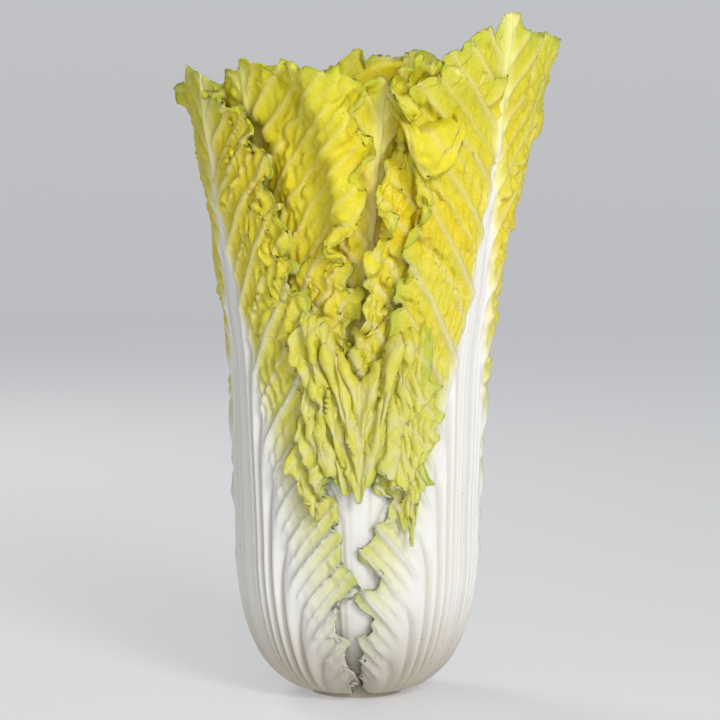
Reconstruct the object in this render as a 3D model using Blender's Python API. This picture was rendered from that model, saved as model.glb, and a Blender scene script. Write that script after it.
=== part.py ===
"""A whole napa cabbage, standing on its cut stem: the stem core and the leaves that wrap it, one solid each.

Every leaf is a cupped shell. It is placed in layer coordinates: s runs along the head's profile from the stem to
the tip, theta runs round the head from its front, and layer runs from 0 at the axis to 1 at the outer skin.
The leaves are stacked from the outside in, each one lying against the inner faces of those already placed.
"""

import math

import bpy
import numpy as np

# ---- Driving dimensions, in metres -------------------------------------------------------------------------------
HEAD_HEIGHT = 0.340
FOOT_RADIUS = 0.0250      # where the leaf bases begin, just outside the stem
STEM_GAP = 0.0013         # clear space between the stem and the leaf bases
STEM_EDGE = 0.0008        # the cut face's edge is broken by this much
STEM_TOP_RADIUS = 0.0030
HEEL_RADIUS = 0.0270      # the flat of the base ends here and the bowl begins
WAIST_RADIUS = 0.0610     # the widest part of the white stalks
BOWL_HEIGHT = 0.078       # height at which the bowl has become the straight wall
FLARE_START = 0.165       # height at which the leaf tops begin to open
FLARE_OUT = 0.029         # how far the tops stand out beyond the waist
WALL_DRIFT = 0.030        # how much the wall widens for each metre above the bowl
DEPTH_RATIO = 0.95        # front-to-back size over side-to-side size
CROWN_LIFT = 0.070        # how much higher the innermost leaf springs from the stem than the outermost
LEAF_GAP = 0.00125        # clear space left between one leaf and the next
BASE_CLEARANCE = 0.0003   # the leaf bases stay this far above the cut face of the stem
BLADE_THICKNESS = 0.0012
STALK_NARROWING = math.radians(5.0)  # how far each side of a stalk draws in where the bowl ends
ROW_CROWDING = 1.35       # rows of the leaf meshes lie closer together in the bowl

# ---- The leaves, outermost first: name, azimuth, stalk half-angle, blade half-angle (degrees), tip height, ---------
# ---- thickness of the stalk at its middle (metres)
LEAVES = [
    ("outer_leaf_left", -62, 57, 68, 0.312, 0.0082),
    ("outer_leaf_right", 61, 57, 66, 0.340, 0.0082),
    ("outer_leaf_back", 178, 62, 68, 0.318, 0.0080),
    ("front_leaf", 2, 48, 46, 0.215, 0.0072),
    ("side_leaf_right", 112, 56, 66, 0.316, 0.0072),
    ("side_leaf_left", -112, 56, 66, 0.304, 0.0070),
    ("second_leaf_right", 38, 56, 62, 0.306, 0.0062),
    ("second_leaf_back", 168, 62, 72, 0.322, 0.0062),
    ("second_leaf_left", -38, 56, 64, 0.322, 0.0060),
    ("third_leaf_right", 88, 60, 72, 0.308, 0.0056),
    ("third_leaf_back", -138, 62, 76, 0.312, 0.0054),
    ("third_leaf_front", 4, 60, 72, 0.324, 0.0052),
    ("inner_leaf_01", 132, 64, 80, 0.304, 0.0048),
    ("inner_leaf_02", -84, 66, 82, 0.300, 0.0046),
    ("inner_leaf_03", 54, 68, 84, 0.312, 0.0044),
    ("inner_leaf_04", -168, 70, 86, 0.302, 0.0042),
    ("inner_leaf_05", -28, 72, 88, 0.300, 0.0040),
    ("inner_leaf_06", 108, 76, 90, 0.290, 0.0038),
    ("inner_leaf_07", -114, 80, 92, 0.284, 0.0036),
    ("heart_leaf_01", 24, 86, 96, 0.276, 0.0032),
    ("heart_leaf_02", 160, 90, 100, 0.262, 0.0030),
    ("heart_leaf_03", -62, 95, 105, 0.240, 0.0028),
    ("heart_leaf_04", 76, 105, 110, 0.205, 0.0026),
]
MESH_STEPS = [(6, 11, 13), (12, 10, 12), (len(LEAVES), 8, 9)]  # up to this leaf: columns, rows of its mesh

WHITE_STALK = (0.80, 0.78, 0.68, 1.0)
GREEN_BLADE = (0.60, 0.56, 0.12, 1.0)
YELLOW_BLADE = (0.72, 0.60, 0.06, 1.0)

# ---- The working grid of the layer coordinates --------------------------------------------------------------------
GRID_TURN = 144           # cells round the head
GRID_LENGTH = 72          # cells from stem to tip
THETA = np.linspace(-math.pi, math.pi, GRID_TURN, endpoint=False)
LENGTH = np.linspace(0.0, 1.0, GRID_LENGTH)


def head_profile():
    """Radius and height of the head's outer skin at equal steps of arc length, from the stem to the tip."""
    angle = np.linspace(0.0, math.pi / 2, 60)
    bowl_radius = HEEL_RADIUS + (WAIST_RADIUS - HEEL_RADIUS) * np.sin(angle) ** 1.1
    bowl_height = BOWL_HEIGHT * (1.0 - np.cos(angle) ** 0.86)
    height = np.linspace(BOWL_HEIGHT, HEAD_HEIGHT, 120)[1:]
    opened = np.clip((height - FLARE_START) / (HEAD_HEIGHT - FLARE_START), 0.0, 1.0)
    wall = WAIST_RADIUS + WALL_DRIFT * (height - BOWL_HEIGHT) + FLARE_OUT * opened ** 1.35
    radius = np.concatenate([[FOOT_RADIUS], bowl_radius, wall])
    height = np.concatenate([[0.0], bowl_height, height]) + BASE_CLEARANCE
    run = np.concatenate([[0.0], np.cumsum(np.hypot(np.diff(radius), np.diff(height)))])
    return run / run[-1], radius, height


RUN, RADIUS, HEIGHT = head_profile()
BOWL_END = float(np.interp(BOWL_HEIGHT, HEIGHT, RUN))


def place(s, theta, layer):
    """The point in space of layer coordinates."""
    radius = np.interp(s, RUN, RADIUS) * layer
    settle = np.clip((s - BOWL_END) / (1.0 - BOWL_END), 0.0, 1.0)
    lift = CROWN_LIFT * (1.0 - layer) * (1.0 - settle * settle * (3.0 - 2.0 * settle))
    height = np.interp(s, RUN, HEIGHT) + lift
    return np.stack([radius * np.sin(theta), -DEPTH_RATIO * radius * np.cos(theta), height], axis=-1)


def turned(theta):
    """An angle brought into -pi..pi."""
    return (theta + math.pi) % (2.0 * math.pi) - math.pi


def sampled(field, s, theta):
    """A grid field read between its cells."""
    row = np.clip(s, 0.0, 1.0) * (GRID_LENGTH - 1)
    column = (theta + math.pi) / (2.0 * math.pi) * GRID_TURN
    row_0 = np.clip(np.floor(row).astype(int), 0, GRID_LENGTH - 2)
    column_0 = np.floor(column).astype(int)
    along, round_ = row - row_0, column - column_0
    column_1 = (column_0 + 1) % GRID_TURN
    column_0 = column_0 % GRID_TURN
    low = field[row_0, column_0] * (1 - round_) + field[row_0, column_1] * round_
    high = field[row_0 + 1, column_0] * (1 - round_) + field[row_0 + 1, column_1] * round_
    return low * (1 - along) + high * along


def spread(field, rows, columns, combine):
    """Each cell combined with its neighbours within so many rows and columns."""
    out = field.copy()
    for shift in range(1, columns + 1):
        out = combine(out, np.roll(field, shift, axis=1), shift)
        out = combine(out, np.roll(field, -shift, axis=1), shift)
    wide = out.copy()
    for shift in range(1, rows + 1):
        up = np.concatenate([np.repeat(wide[:1], shift, axis=0), wide[:-shift]])
        down = np.concatenate([wide[shift:], np.repeat(wide[-1:], shift, axis=0)])
        out = combine(out, up, shift)
        out = combine(out, down, shift)
    return out


def lowest_near(field, rows, columns):
    return spread(field, rows, columns, lambda a, b, shift: np.minimum(a, b))


def averaged(field, rows, columns, passes):
    """A running mean, repeated until it is as smooth as a stiff leaf."""
    for _ in range(passes):
        total = field.copy()
        for shift in range(1, columns + 1):
            total = total + np.roll(field, shift, axis=1) + np.roll(field, -shift, axis=1)
        wide = total / (2 * columns + 1)
        total = wide.copy()
        for shift in range(1, rows + 1):
            total = total + np.concatenate([np.repeat(wide[:1], shift, axis=0), wide[:-shift]])
            total = total + np.concatenate([wide[shift:], np.repeat(wide[-1:], shift, axis=0)])
        field = total / (2 * rows + 1)
    return field


class Leaf:
    """One leaf as a grid of points across (u from -1 to 1) and along (v from 0 to 1) its sheet."""

    def __init__(self, spec, columns, rows):
        self.name, azimuth, stalk, blade, tip, self.stalk_thickness = spec
        self.azimuth = math.radians(azimuth)
        self.stalk, self.blade = math.radians(stalk), math.radians(blade)
        self.tip = float(np.interp(tip, HEIGHT, RUN))
        self.u = np.linspace(-1.0, 1.0, columns + 1)
        self.v = np.linspace(0.0, 1.0, rows + 1) ** ROW_CROWDING

    def half_angle(self, s):
        """The stalk narrows a little above the bowl, then widens into the blade."""
        widened = np.clip((s - BOWL_END) / 0.36, 0.0, 1.0)
        widened = widened * widened * (3.0 - 2.0 * widened)
        narrowed = STALK_NARROWING * np.sin(math.pi * np.clip(s / (2.0 * BOWL_END), 0.0, 1.0)) ** 2
        return self.stalk - narrowed + (self.blade - self.stalk) * widened

    def top(self, u):
        """The tip is rounded: the margin falls away towards both sides."""
        return self.tip * (1.0 - 0.13 * np.abs(u) ** 2.6)

    def thickness(self, u, v):
        """A thick white stalk in the middle that thins sideways into the wings and upwards into the blade."""
        fade = np.clip(1.0 - v / 0.80, 0.0, 1.0) ** 0.75
        across = np.clip(1.0 - (np.abs(u) / 0.94) ** 2.4, 0.0, 1.0)
        return BLADE_THICKNESS + (self.stalk_thickness - BLADE_THICKNESS) * fade * across

    def fit_under(self, limit):
        """Lays the leaf's outer face under the limit and sets its inner face by its thickness."""
        stiff = lowest_near(limit, 3, 5)
        stiff = np.minimum(stiff, averaged(stiff, 2, 4, 3)) - LEAF_GAP / WAIST_RADIUS
        u, v = np.meshgrid(self.u, self.v)
        self.s = v * self.top(u)
        self.theta = turned(self.azimuth + u * self.half_angle(self.s))
        self.outer = sampled(stiff, self.s, self.theta)
        self.inner = self.outer - self.thickness(u, v) / WAIST_RADIUS

    def lower_limit(self, limit):
        """Brings the limit down to the leaf's inner face wherever the leaf is."""
        s, theta = np.meshgrid(LENGTH, THETA, indexing="ij")
        u = turned(theta - self.azimuth) / self.half_angle(s)
        v = s / self.top(np.clip(u, -1.0, 1.0))
        inside = (np.abs(u) <= 1.08) & (v <= 1.04)
        column = np.clip((u + 1.0) / 2.0, 0.0, 1.0) * (len(self.u) - 1)
        row = np.interp(v, self.v, np.arange(len(self.v)))
        c0 = np.clip(np.floor(column).astype(int), 0, len(self.u) - 2)
        r0 = np.clip(np.floor(row).astype(int), 0, len(self.v) - 2)
        fc, fr = column - c0, row - r0
        low = self.inner[r0, c0] * (1 - fc) + self.inner[r0, c0 + 1] * fc
        high = self.inner[r0 + 1, c0] * (1 - fc) + self.inner[r0 + 1, c0 + 1] * fc
        face = low * (1 - fr) + high * fr
        return np.where(inside, np.minimum(limit, face), limit)

    def solid(self):
        """The closed shell: outer face, inner face and the rim that joins them."""
        rows, columns = self.s.shape
        outer = place(self.s, self.theta, self.outer).reshape(-1, 3)
        inner = place(self.s, self.theta, self.inner).reshape(-1, 3)
        index = np.arange(rows * columns).reshape(rows, columns)
        a, b = index[:-1, :-1].ravel(), index[:-1, 1:].ravel()
        c, d = index[1:, 1:].ravel(), index[1:, :-1].ravel()
        shift = rows * columns
        faces = [np.stack([a, b, c, d], 1), np.stack([a, d, c, b], 1) + shift]
        rim = np.concatenate([index[0], index[1:, -1], index[-1, -2::-1], index[-2:0:-1, 0]])
        after = np.roll(rim, -1)
        faces.append(np.stack([rim, rim + shift, after + shift, after], 1))
        return np.concatenate([outer, inner]), np.concatenate(faces)


def finish(name, color, roughness):
    material = bpy.data.materials.new(name)
    material.use_nodes = True
    shader = material.node_tree.nodes["Principled BSDF"]
    shader.inputs["Base Color"].default_value = color
    shader.inputs["Roughness"].default_value = roughness
    shader.inputs["Metallic"].default_value = 0.0
    return material


def add_piece(name, points, faces, material):
    mesh = bpy.data.meshes.new(name)
    mesh.from_pydata([tuple(p) for p in points], [], [tuple(f) for f in faces])
    mesh.validate()
    mesh.materials.append(material)
    mesh.shade_smooth()
    mesh.set_sharp_from_angle(angle=math.radians(50))
    piece = bpy.data.objects.new(name, mesh)
    bpy.context.scene.collection.objects.link(piece)
    return piece


def stem():
    """The pale core: a flat cut face below, and a cone that the leaves spring from."""
    sides = 32
    turn = np.linspace(0.0, 2.0 * math.pi, sides, endpoint=False)
    foot = FOOT_RADIUS - STEM_GAP
    top = CROWN_LIFT * (1.0 - (STEM_TOP_RADIUS + STEM_GAP) / FOOT_RADIUS)
    profile = [(foot - STEM_EDGE, 0.0)]
    for height in (STEM_EDGE, top * 0.3, top * 0.65, top):
        profile.append((FOOT_RADIUS * (1.0 - height / CROWN_LIFT) - STEM_GAP, height))
    rings = [np.stack([r * np.sin(turn), -r * DEPTH_RATIO * np.cos(turn), np.full(sides, z)], 1) for r, z in profile]
    points = np.concatenate(rings)
    faces = [list(range(sides - 1, -1, -1)), [sides * (len(profile) - 1) + k for k in range(sides)]]
    for ring in range(len(profile) - 1):
        for k in range(sides):
            here, across = ring * sides + k, ring * sides + (k + 1) % sides
            faces.append([here, across, across + sides, here + sides])
    return points, faces


def main():
    for old in list(bpy.data.objects):
        bpy.data.objects.remove(old)
    stalk_finish = finish("stem_flesh", WHITE_STALK, 0.45)
    points, faces = stem()
    add_piece("stem_core", points, faces, stalk_finish)
    limit = np.ones((GRID_LENGTH, GRID_TURN))
    for number, spec in enumerate(LEAVES):
        columns, rows = next(steps[1:] for steps in MESH_STEPS if number < steps[0])
        leaf = Leaf(spec, columns, rows)
        leaf.fit_under(limit)
        limit = leaf.lower_limit(limit)
        shade = np.array(GREEN_BLADE) + (np.array(YELLOW_BLADE) - np.array(GREEN_BLADE)) * number / len(LEAVES)
        points, faces = leaf.solid()
        add_piece(leaf.name, points, faces, finish(leaf.name, tuple(shade), 0.5))


main()
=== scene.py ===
import math

import bpy
import numpy as np
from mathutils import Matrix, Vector


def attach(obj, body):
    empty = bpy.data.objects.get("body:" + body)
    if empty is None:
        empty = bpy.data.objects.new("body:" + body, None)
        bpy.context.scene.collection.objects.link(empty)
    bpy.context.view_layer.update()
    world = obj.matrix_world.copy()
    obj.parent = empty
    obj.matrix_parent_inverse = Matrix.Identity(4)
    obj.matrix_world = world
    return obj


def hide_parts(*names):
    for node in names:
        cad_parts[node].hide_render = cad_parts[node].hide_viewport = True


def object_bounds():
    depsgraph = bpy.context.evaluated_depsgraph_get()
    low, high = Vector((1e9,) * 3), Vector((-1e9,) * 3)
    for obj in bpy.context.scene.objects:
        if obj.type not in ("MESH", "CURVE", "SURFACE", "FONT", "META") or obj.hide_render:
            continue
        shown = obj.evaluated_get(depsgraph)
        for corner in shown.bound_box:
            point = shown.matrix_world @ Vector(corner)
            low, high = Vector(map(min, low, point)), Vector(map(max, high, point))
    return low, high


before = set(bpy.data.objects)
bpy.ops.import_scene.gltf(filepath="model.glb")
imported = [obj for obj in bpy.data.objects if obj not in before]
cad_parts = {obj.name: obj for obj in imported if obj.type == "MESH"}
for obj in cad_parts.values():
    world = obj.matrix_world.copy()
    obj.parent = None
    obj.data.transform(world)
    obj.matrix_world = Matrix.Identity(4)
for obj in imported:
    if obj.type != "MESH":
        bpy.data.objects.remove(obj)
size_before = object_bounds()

# ---- The head's form ----
# Every leaf of the head lies in one set of wrapped coordinates: how far along the skin from the
# stem (run, in metres), how far round from the front (turn, in radians), and how deep (layer, 1 at
# the skin and 0 at the axis).

HEAD_HEIGHT = float(size_before[1][2])
WAIST_RADIUS = 0.0610
HEEL_RADIUS = 0.0270
FOOT_RADIUS = 0.0250
BOWL_HEIGHT = 0.078
FLARE_START = 0.165
FLARE_OUT = 0.029
WALL_DRIFT = 0.030
DEPTH_RATIO = 0.95
CROWN_LIFT = 0.070
BASE_CLEARANCE = 0.0003
LEAN = 0.006           # the open tops lean this much towards the taller leaf
SKIN_TOP = 0.372       # the wrapped coordinates go on above the head, for the tips that stand proud


def in_scene(name, data):
    thing = bpy.data.objects.new(name, data)
    bpy.context.scene.collection.objects.link(thing)
    return thing


def ease(x):
    x = np.clip(x, 0.0, 1.0)
    return x * x * (3.0 - 2.0 * x)


def head_skin():
    """Run, radius and height of the head's outer skin, from the stem up."""
    angle = np.linspace(0.0, math.pi / 2, 60)
    bowl_radius = HEEL_RADIUS + (WAIST_RADIUS - HEEL_RADIUS) * np.sin(angle) ** 1.1
    bowl_height = BOWL_HEIGHT * (1.0 - np.cos(angle) ** 0.86)
    height = np.linspace(BOWL_HEIGHT, SKIN_TOP, 140)[1:]
    opened = np.clip((height - FLARE_START) / (HEAD_HEIGHT - FLARE_START), 0.0, 1.3)
    wall = WAIST_RADIUS + WALL_DRIFT * (height - BOWL_HEIGHT) + FLARE_OUT * opened ** 1.35
    radius = np.concatenate([[FOOT_RADIUS], bowl_radius, wall])
    height = np.concatenate([[0.0], bowl_height, height]) + BASE_CLEARANCE
    run = np.concatenate([[0.0], np.cumsum(np.hypot(np.diff(radius), np.diff(height)))])
    return run, radius, height


SKIN_RUN, SKIN_RADIUS, SKIN_HEIGHT = head_skin()
BOWL_RUN = float(np.interp(BOWL_HEIGHT, SKIN_HEIGHT, SKIN_RUN))
HEAD_RUN = float(np.interp(HEAD_HEIGHT, SKIN_HEIGHT, SKIN_RUN))


def run_at(height):
    return np.interp(height, SKIN_HEIGHT, SKIN_RUN)


def height_at(run):
    return np.interp(run, SKIN_RUN, SKIN_HEIGHT)


def radius_at(run):
    return np.interp(run, SKIN_RUN, SKIN_RADIUS)


def unwrapped(wrapped):
    """Points in space for wrapped coordinates (run, turn, layer)."""
    run, turn, layer = wrapped[..., 0], wrapped[..., 1], wrapped[..., 2]
    radius = radius_at(run) * layer
    lift = CROWN_LIFT * (1.0 - layer) * (1.0 - ease((run - BOWL_RUN) / (HEAD_RUN - BOWL_RUN)))
    height = height_at(run) + lift
    lean = LEAN * np.clip((height - FLARE_START) / (HEAD_HEIGHT - FLARE_START), 0.0, 1.2) ** 2
    across, outwards = radius * np.sin(turn) + lean, -DEPTH_RATIO * radius * np.cos(turn)
    return np.stack([across, outwards, height], axis=-1)


def soft_noise(x, y, cell, seed):
    """Smooth random waves between -1 and 1, about one cell apart."""
    lattice = np.random.default_rng(seed).uniform(-1.0, 1.0, (97, 89))
    across, along = x / cell + 40.37, y / cell + 30.71
    i, j = np.floor(across).astype(int), np.floor(along).astype(int)
    f, g = across - i, along - j
    f, g = f * f * f * (f * (6 * f - 15) + 10), g * g * g * (g * (6 * g - 15) + 10)
    low = lattice[i % 97, j % 89] * (1 - f) + lattice[(i + 1) % 97, j % 89] * f
    high = lattice[i % 97, (j + 1) % 89] * (1 - f) + lattice[(i + 1) % 97, (j + 1) % 89] * f
    return low * (1 - g) + high * g


def cell_net(x, y, cell, seed):
    """A net of irregular cells: how far each point is from it, in cells, and its cell's number."""
    rng = np.random.default_rng(seed)
    jitter, number = rng.uniform(0.1, 0.9, (71, 73, 2)), rng.uniform(-1.0, 1.0, (71, 73))
    across, along = x / cell + 20.0, y / cell + 20.0
    i, j = np.floor(across).astype(int), np.floor(along).astype(int)
    nearest, second, chosen = np.full(x.shape, 9.0), np.full(x.shape, 9.0), np.zeros(x.shape)
    for di in (-1, 0, 1):
        for dj in (-1, 0, 1):
            a, b = (i + di) % 71, (j + dj) % 73
            far = np.hypot(i + di + jitter[a, b, 0] - across, j + dj + jitter[a, b, 1] - along)
            closer = far < nearest
            second = np.where(closer, nearest, np.minimum(second, far))
            chosen = np.where(closer, number[a, b], chosen)
            nearest = np.where(closer, far, nearest)
    return second - nearest, chosen


# ---- The space between the leaves ----
# The leaves are laid from the outside in. Two rasters over run and turn remember the room that is
# left: the lowest face laid so far (under), which the next leaf lies beneath, and the highest
# (over), which folded flaps hang over.

ROOM_ROWS, ROOM_COLUMNS = 190, 180
ROOM_RUN = float(SKIN_RUN[-1])
under = np.ones((ROOM_ROWS, ROOM_COLUMNS))
over = np.zeros((ROOM_ROWS, ROOM_COLUMNS))


def read_raster(raster, run, turn):
    row = np.clip(run / ROOM_RUN, 0.0, 1.0) * (ROOM_ROWS - 1)
    column = (turn / (2.0 * math.pi) + 0.5) * ROOM_COLUMNS
    r, c = np.minimum(row.astype(int), ROOM_ROWS - 2), np.floor(column).astype(int)
    f, g = row - r, column - c
    c, d = c % ROOM_COLUMNS, (c + 1) % ROOM_COLUMNS
    low = raster[r, c] * (1 - g) + raster[r, d] * g
    high = raster[r + 1, c] * (1 - g) + raster[r + 1, d] * g
    return low * (1 - f) + high * f


def near_cells(raster, rows, columns, pick):
    """Each cell joined by pick with its neighbours within so many rows and columns."""
    out = raster
    for shift in range(1, columns + 1):
        out = pick(pick(out, np.roll(raster, shift, axis=1)), np.roll(raster, -shift, axis=1))
    wide = out
    for shift in range(1, rows + 1):
        up = np.concatenate([np.repeat(wide[:1], shift, axis=0), wide[:-shift]])
        down = np.concatenate([wide[shift:], np.repeat(wide[-1:], shift, axis=0)])
        out = pick(pick(out, up), down)
    return out


def blurred(raster, rows, columns, passes):
    for _ in range(passes):
        total = sum(np.roll(raster, shift, axis=1) for shift in range(-columns, columns + 1))
        raster = total / (2 * columns + 1)
        padded = np.pad(raster, ((rows, rows), (0, 0)), mode="edge")
        raster = sum(padded[k:k + ROOM_ROWS] for k in range(2 * rows + 1)) / (2 * rows + 1)
    return raster


def stamp(raster, wrapped, use, pick):
    """Presses a leaf's wrapped points into a raster."""
    run, turn, layer = wrapped[..., 0][use], wrapped[..., 1][use], wrapped[..., 2][use]
    row = np.clip(np.round(run / ROOM_RUN * (ROOM_ROWS - 1)).astype(int), 0, ROOM_ROWS - 1)
    column = np.round((turn / (2.0 * math.pi) + 0.5) * ROOM_COLUMNS).astype(int) % ROOM_COLUMNS
    pick.at(raster, (row, column), layer)


# ---- A leaf's outline and its folds ----
# A leaf is a sheet with a thick stalk up its middle and thin wings, free at its margins and tip.
# Its outline is its midrib, left and right margins (height, degrees round from the front) and its
# top (share across, height). Folds turn a stretch of the tip or of a margin outwards and back.

def line(points, heights):
    """A smooth line through a few (height, value) points."""
    at, value = np.array(points, float).T
    fine = np.linspace(-0.02, 0.40, 421)
    weights = np.hanning(19)[1:-1]
    padded = np.pad(np.interp(fine, at, value), 8, mode="edge")
    return np.interp(heights, fine, np.convolve(padded, weights / weights.sum(), mode="valid"))


def teeth(run, size, seed):
    """A torn edge: short lobes of uneven depth, between -1 and 1."""
    wave = soft_noise(run, run * 0 + seed * 0.37, size, seed)
    bite = soft_noise(run, run * 0 + seed * 0.91, size * 0.37, seed + 50)
    return np.clip(1.6 * wave + 0.8 * bite, -1.0, 1.0)


def leaf_outline(leaf, columns, rows):
    """Share across (-1 to 1), share along (0 to 1), run and turn at every point of the sheet's grid."""
    u, v = np.meshgrid(np.linspace(-1.0, 1.0, columns), np.linspace(0.0, 1.0, rows) ** 1.08)
    top = run_at(np.interp(u[0], *np.array(leaf["top"], float).T))
    if "top_torn" in leaf:
        top = top + leaf["top_torn"] * teeth(u[0] * 0.05, 0.009, leaf["seed"] + 11)
    run = v * top
    height = height_at(run)
    middle = line(leaf["midrib"], height)
    edge, torn = {}, {}
    for side, seed in (("left", 7), ("right", 3)):
        depth = line(leaf.get(side + "_torn", [(0.0, 0.0008)]), height) * ease(run / 0.03)
        torn[side] = np.degrees(depth * teeth(run, 0.012, leaf["seed"] + seed) / radius_at(run))
        edge[side] = line(leaf[side], height)
    reach = np.where(u < 0.0, middle - edge["left"], edge["right"] - middle)
    ragged = np.where(u < 0.0, torn["left"], torn["right"]) * np.abs(u) ** 5
    return u, v, run, np.radians(middle + u * reach + ragged)


FLAP_END = 0.018       # a flap of a margin starts and ends over this height


def fold_turning(leaf, u, run, turn):
    """How far the sheet has turned at each point, for folds along its length and for folds across it."""
    height = height_at(run)
    along, left, right = np.zeros(u.shape), np.zeros(u.shape), np.zeros(u.shape)
    for kind, low, high, size, degrees, bend in leaf["folds"]:
        angle = math.radians(degrees)
        if kind == "tip":
            window = ease((u - low) / 0.30 + 0.5) * ease((high - u) / 0.30 + 0.5)
            wander = 0.003 * soft_noise(u * 0.05, u * 0, 0.012, leaf["seed"] + 31)
            past = run - (run[-1:] - size * (0.35 + 0.65 * window)) + wander
            along = np.maximum(along, window * angle * np.clip(past / (angle * bend), 0.0, 1.0))
        elif kind == "over":
            past = run - run_at(np.interp(u, *np.array(size, float).T))
            along = np.maximum(along, angle * np.clip(past / (angle * bend), 0.0, 1.0))
        else:
            window = ease((height - low) / FLAP_END + 0.5) * ease((high - height) / FLAP_END + 0.5)
            margin = turn[:, :1] if kind == "left" else turn[:, -1:]
            past = size * window - np.abs(margin - turn) * radius_at(run)
            turning = window * angle * np.clip(past / (angle * bend), 0.0, 1.0)
            if kind == "left":
                left = np.maximum(left, turning)
            else:
                right = np.maximum(right, turning)
    return along, left, right


def bent(a, b, turning):
    """Bends lines of points down each column: a is metres along the sheet, b is metres outwards."""
    half = 0.5 * (turning[1:] + turning[:-1])
    da, db = np.diff(a, axis=0), np.diff(b, axis=0)
    a = np.concatenate([a[:1], a[:1] + np.cumsum(da * np.cos(half) - db * np.sin(half), axis=0)])
    b = np.concatenate([b[:1], b[:1] + np.cumsum(da * np.sin(half) + db * np.cos(half), axis=0)])
    return a, b


def fold_sheet(leaf, wrapped, u, run, turn):
    """Applies the leaf's folds to its wrapped points, and says how far each point has turned."""
    along, left, right = fold_turning(leaf, u, run, turn)
    s, t, layer = wrapped[..., 0], wrapped[..., 1], wrapped[..., 2]
    size = radius_at(s)
    if along.any():
        s, out = bent(s, layer * size, along)
        layer = out / size
    middle = s.shape[1] // 2
    for turning, sign in ((left, -1), (right, 1)):
        if turning.any():
            pick = slice(middle, None, -1) if sign < 0 else slice(middle, None)
            a, b = bent((t * size)[:, pick].T * sign, (layer * size)[:, pick].T, turning[:, pick].T)
            t, layer = t.copy(), layer.copy()
            t[:, pick], layer[:, pick] = (a * sign).T / size[:, pick], b.T / size[:, pick]
    return np.stack([s, t, layer], axis=-1), along + left + right


# ---- How a leaf crumples ----
# A blade grows more than its stalk, and most at its margins, so it buckles into pleats and ruffles
# in the little room that its neighbours leave it. The sheet is relaxed like a net of springs,
# coarse first and then finer.

NET = [((0, 1), 1.0), ((1, 0), 1.0), ((1, 1), 0.45), ((1, -1), 0.45), ((0, 2), 0.60), ((2, 0), 0.60)]
PULL, GLIDE = 0.30, 0.80    # the share of a pull taken at each step, and of the last move kept
LONGEST_MOVE = 0.0012
HOMING = 0.012              # how strongly the sheet is drawn back to where it was folded


def pair(points, step):
    """Two views of a grid, so many rows and columns apart."""
    down, right = step
    rows, columns = points.shape[:2]
    first = points[:rows - down, max(0, -right):columns - max(0, right)]
    second = points[down:, max(0, right):columns + min(0, right)]
    return first, second


def net_pull(points, lengths):
    """Where the springs of the net pull each point, in space."""
    move = np.zeros_like(points)
    for (step, stiffness), length in zip(NET, lengths):
        first, second = pair(points, step)
        apart = second - first
        now = np.sqrt((apart * apart).sum(axis=-1)) + 1e-9
        shift = apart * (stiffness * 0.5 * (now - length) / now)[..., None]
        into_first, into_second = pair(move, step)
        into_first += shift
        into_second -= shift
    return move


def wrapped_pull(wrapped):
    """The matrix at each point that turns a small move in space into one in wrapped coordinates."""
    here = wrapped.copy()
    here[..., 0] = np.clip(here[..., 0], 0.002, ROOM_RUN - 0.004)
    here[..., 2] = np.maximum(here[..., 2], 0.15)
    columns = []
    for axis, small in ((0, 1e-3), (1, 1e-2), (2, 1e-2)):
        moved = here.copy()
        moved[..., axis] += small
        columns.append((unwrapped(moved) - unwrapped(here)) / small)
    return np.linalg.inv(np.stack(columns, axis=-1))


PRESS = 0.000030            # the leaves within push a blade outwards this much at each step
SETTLED = 0.6               # how much of its coarse shape a finer net keeps


def relaxed(wrapped, lengths, home, free, low, high, flap, steps):
    """Lets the net settle. low and high give the layers that each point may lie between."""
    before = wrapped.copy()
    for step in range(steps):
        if step % 10 == 0:
            back = wrapped_pull(wrapped)
        pull = net_pull(unwrapped(wrapped), lengths) * PULL
        size = np.sqrt((pull * pull).sum(axis=-1, keepdims=True))
        pull *= np.minimum(1.0, LONGEST_MOVE / (size + 1e-9))
        move = np.einsum("...ij,...j->...i", back, pull)
        glide = GLIDE * (wrapped - before)
        before = wrapped
        wrapped = wrapped + (move + glide) * free[..., None]
        wrapped[..., :2] += HOMING * free[..., None] * (home[..., :2] - wrapped[..., :2])
        wrapped[..., 2] += np.where(flap < 0.6, PRESS, 0.0) * free / radius_at(wrapped[..., 0])
        bottom, top = low(wrapped, flap), high(wrapped, flap)
        wrapped[..., 2] = np.clip(wrapped[..., 2], bottom, np.maximum(top, bottom))
    return wrapped


def refined(grid):
    """The grid with a point put between every two, on a smooth curve through their neighbours."""
    for _ in range(2):
        between = (grid[:-1] + grid[1:]) * 0.5
        between[1:-1] = (9.0 * (grid[1:-2] + grid[2:-1]) - grid[:-3] - grid[3:]) / 16.0
        out = np.empty((2 * len(grid) - 1,) + grid.shape[1:])
        out[::2], out[1::2] = grid, between
        grid = out.swapaxes(0, 1)
    return grid


LEAF_GAP = 0.0011
BLADE_THICKNESS = 0.00055
VEIN_RUN = 0.10             # so much midrib above the stalk carries one stalk's worth of side veins


def leaf_thickness(leaf, u, v):
    """A thick stalk in the middle that thins sideways into the wings and upwards into the blade."""
    fade = np.clip(1.0 - v / 0.80, 0.0, 1.0) ** 0.75
    across = np.clip(1.0 - (np.abs(u) / 0.94) ** 2.4, 0.0, 1.0)
    return BLADE_THICKNESS + (leaf["stalk"] - BLADE_THICKNESS) * fade * across


def leaving_run(leaf, rib):
    """Where a rib leaves the stalk (0 to 1 across it), or a side vein the midrib above (below 0)."""
    in_stalk = np.maximum(1.0 - np.maximum(rib, 0.0), 0.0) ** 2
    return leaf["stalk_run"] * in_stalk + VEIN_RUN * np.maximum(-rib, 0.0)


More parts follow.
